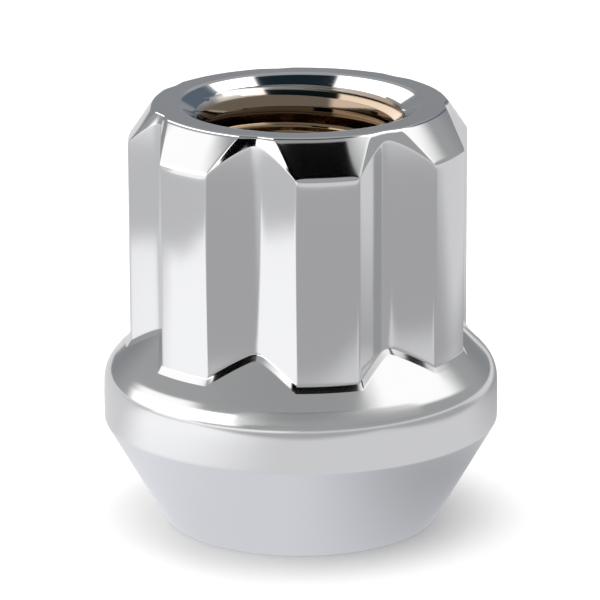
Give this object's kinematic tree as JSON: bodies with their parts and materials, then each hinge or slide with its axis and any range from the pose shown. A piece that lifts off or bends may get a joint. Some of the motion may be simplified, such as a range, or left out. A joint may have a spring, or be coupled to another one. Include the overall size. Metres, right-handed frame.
{
  "type": "lug nut",
  "caption": "Open-ended spline-drive wheel nut with a conical seat, a wide band and a threaded through bore.",
  "frame": {"origin": "centre of the small end of the seat, on the surface that the nut stands on", "axes": "+Z along the thread axis, from the seat towards the open drive end; a lobe is centred on -Y and a groove on +Y"},
  "size_m": [0.022, 0.022, 0.0238],
  "materials": {
    "plated_steel": "bright chrome plate over steel, with the thread thinly plated"
  },
  "bodies": {
    "root": {"lug_nut": "plated_steel"}
  },
  "joints": []
}
